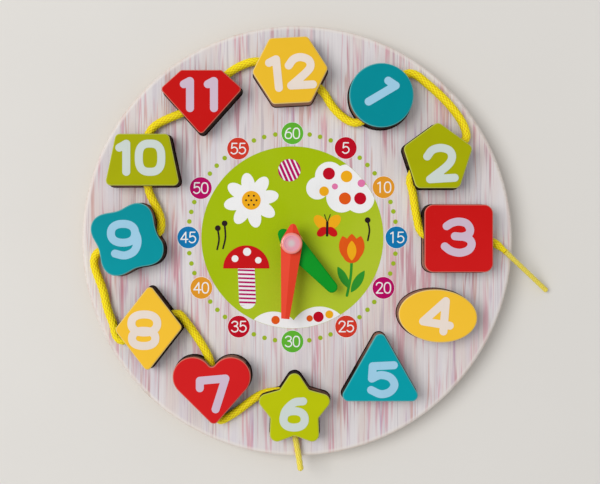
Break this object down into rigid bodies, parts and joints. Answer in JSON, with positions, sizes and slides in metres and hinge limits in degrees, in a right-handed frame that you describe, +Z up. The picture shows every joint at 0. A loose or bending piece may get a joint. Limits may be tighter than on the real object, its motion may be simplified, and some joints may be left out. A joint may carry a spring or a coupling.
{
  "type": "geared teaching clock",
  "caption": "Round wooden teaching clock: geared hour and minute hands on a dial, lift-out shaped number blocks in recesses and a braided lace threaded through them.",
  "frame": {"origin": "centre of the round board on its underside", "axes": "+Z up out of the dial, +Y towards twelve, +X towards three"},
  "size_m": [0.2359, 0.2223, 0.0272],
  "materials": {
    "board_underside": "sanded bare beech, slightly soft edge",
    "whitewashed_face": "whitewash print with thin pink and grey streaks, satin lacquer",
    "gear_cover": "moulded, fine matt",
    "zinc_screws": "zinc plated",
    "brass": "turned",
    "steel_stud": "ground",
    "white_gear": "moulded acetal",
    "red_plastic": "glossy moulded plastic",
    "green_plastic": "glossy moulded plastic",
    "pearl_cap": "glossy pale pink with a bright rim",
    "yellow_lace": "round braided lace",
    "lace_tip": "lace end stiffened with clear plastic",
    "yellow_paint": "painted top, dark burnt wood sides",
    "teal_paint": "painted top, dark burnt wood sides",
    "green_paint": "painted top, dark burnt wood sides",
    "red_paint": "painted top, dark burnt wood sides"
  },
  "bodies": {
    "board": {"base_plate": "board_underside", "face_plate": "whitewashed_face", "gear_cover": "gear_cover", "cover_screws": "zinc_screws", "arbor_bush": "brass", "wheel_stud": "steel_stud", "lacing_cord": "yellow_lace", "lace_tip_right": "lace_tip", "lace_tip_bottom": "lace_tip"},
    "minute_train": {"minute_arbor": "brass", "minute_hand": "red_plastic", "hand_cap": "pearl_cap"},
    "hour_train": {"hour_wheel": "white_gear", "hour_hand": "green_plastic"},
    "motion_wheel": {"minute_wheel": "white_gear"},
    "block_1": {"number_block_1": "teal_paint"},
    "block_2": {"number_block_2": "green_paint"},
    "block_3": {"number_block_3": "red_paint"},
    "block_4": {"number_block_4": "yellow_paint"},
    "block_5": {"number_block_5": "teal_paint"},
    "block_6": {"number_block_6": "green_paint"},
    "block_7": {"number_block_7": "red_paint"},
    "block_8": {"number_block_8": "yellow_paint"},
    "block_9": {"number_block_9": "teal_paint"},
    "block_10": {"number_block_10": "green_paint"},
    "block_11": {"number_block_11": "red_paint"},
    "block_12": {"number_block_12": "yellow_paint"}
  },
  "joints": [
    {"name": "minute_hand_spin", "type": "hinge", "parent": "board", "child": "minute_train", "pos_m": [-0.0026, -0.0013, 0.013], "axis": [0, 0, 1], "continuous": true},
    {"name": "hour_hand_spin", "type": "hinge", "parent": "board", "child": "hour_train", "pos_m": [-0.0026, -0.0013, 0.013], "axis": [0, 0, 1], "continuous": true},
    {"name": "minute_wheel_spin", "type": "hinge", "parent": "board", "child": "motion_wheel", "pos_m": [0.0134, -0.0013, 0.004], "axis": [0, 0, 1], "continuous": true},
    {"name": "block_1_lift", "type": "slide", "parent": "board", "child": "block_1", "axis": [0, 0, 1], "range_m": [0, 0.012], "deforming": ["lacing_cord"]},
    {"name": "block_2_lift", "type": "slide", "parent": "board", "child": "block_2", "axis": [0, 0, 1], "range_m": [0, 0.012], "deforming": ["lacing_cord"]},
    {"name": "block_3_lift", "type": "slide", "parent": "board", "child": "block_3", "axis": [0, 0, 1], "range_m": [0, 0.012], "deforming": ["lacing_cord", "lace_tip_right"]},
    {"name": "block_4_lift", "type": "slide", "parent": "board", "child": "block_4", "axis": [0, 0, 1], "range_m": [0, 0.025]},
    {"name": "block_5_lift", "type": "slide", "parent": "board", "child": "block_5", "axis": [0, 0, 1], "range_m": [0, 0.025]},
    {"name": "block_6_lift", "type": "slide", "parent": "board", "child": "block_6", "axis": [0, 0, 1], "range_m": [0, 0.012], "deforming": ["lacing_cord", "lace_tip_bottom"]},
    {"name": "block_7_lift", "type": "slide", "parent": "board", "child": "block_7", "axis": [0, 0, 1], "range_m": [0, 0.012], "deforming": ["lacing_cord"]},
    {"name": "block_8_lift", "type": "slide", "parent": "board", "child": "block_8", "axis": [0, 0, 1], "range_m": [0, 0.012], "deforming": ["lacing_cord"]},
    {"name": "block_9_lift", "type": "slide", "parent": "board", "child": "block_9", "axis": [0, 0, 1], "range_m": [0, 0.012], "deforming": ["lacing_cord"]},
    {"name": "block_10_lift", "type": "slide", "parent": "board", "child": "block_10", "axis": [0, 0, 1], "range_m": [0, 0.012], "deforming": ["lacing_cord"]},
    {"name": "block_11_lift", "type": "slide", "parent": "board", "child": "block_11", "axis": [0, 0, 1], "range_m": [0, 0.012], "deforming": ["lacing_cord"]},
    {"name": "block_12_lift", "type": "slide", "parent": "board", "child": "block_12", "axis": [0, 0, 1], "range_m": [0, 0.012], "deforming": ["lacing_cord"]}
  ],
  "couplings": [
    {"joint": "hour_hand_spin", "follows": "minute_hand_spin", "ratio": 0.083333},
    {"joint": "minute_wheel_spin", "follows": "minute_hand_spin", "ratio": -0.33333}
  ]
}
